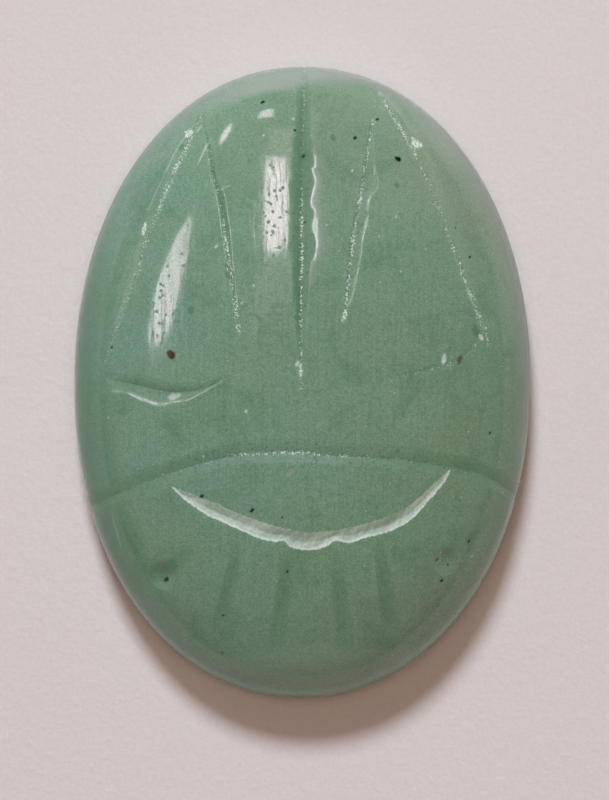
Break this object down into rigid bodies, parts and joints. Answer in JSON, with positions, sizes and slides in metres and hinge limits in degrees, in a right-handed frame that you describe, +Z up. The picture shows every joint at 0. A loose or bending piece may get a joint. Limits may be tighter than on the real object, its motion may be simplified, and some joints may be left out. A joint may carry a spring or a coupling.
{
  "type": "scarab seal",
  "caption": "Oval flat-backed scarab cabochon in pale green stone, a smooth dome with incised wing cases, neck arc, frosted brow crescent, eye dimples and head rays.",
  "frame": {"origin": "middle of the flat base, on the surface that the stone lies on", "axes": "+Z up through the dome, +Y along the long axis towards the tip of the wing cases, +X to the right as seen from above with the tail up"},
  "size_m": [0.013, 0.018, 0.0045],
  "materials": {
    "green_stone": "polished translucent pale green quartz with frosted wheel-cut marks"
  },
  "bodies": {
    "root": {"scarab": "green_stone"}
  },
  "joints": []
}
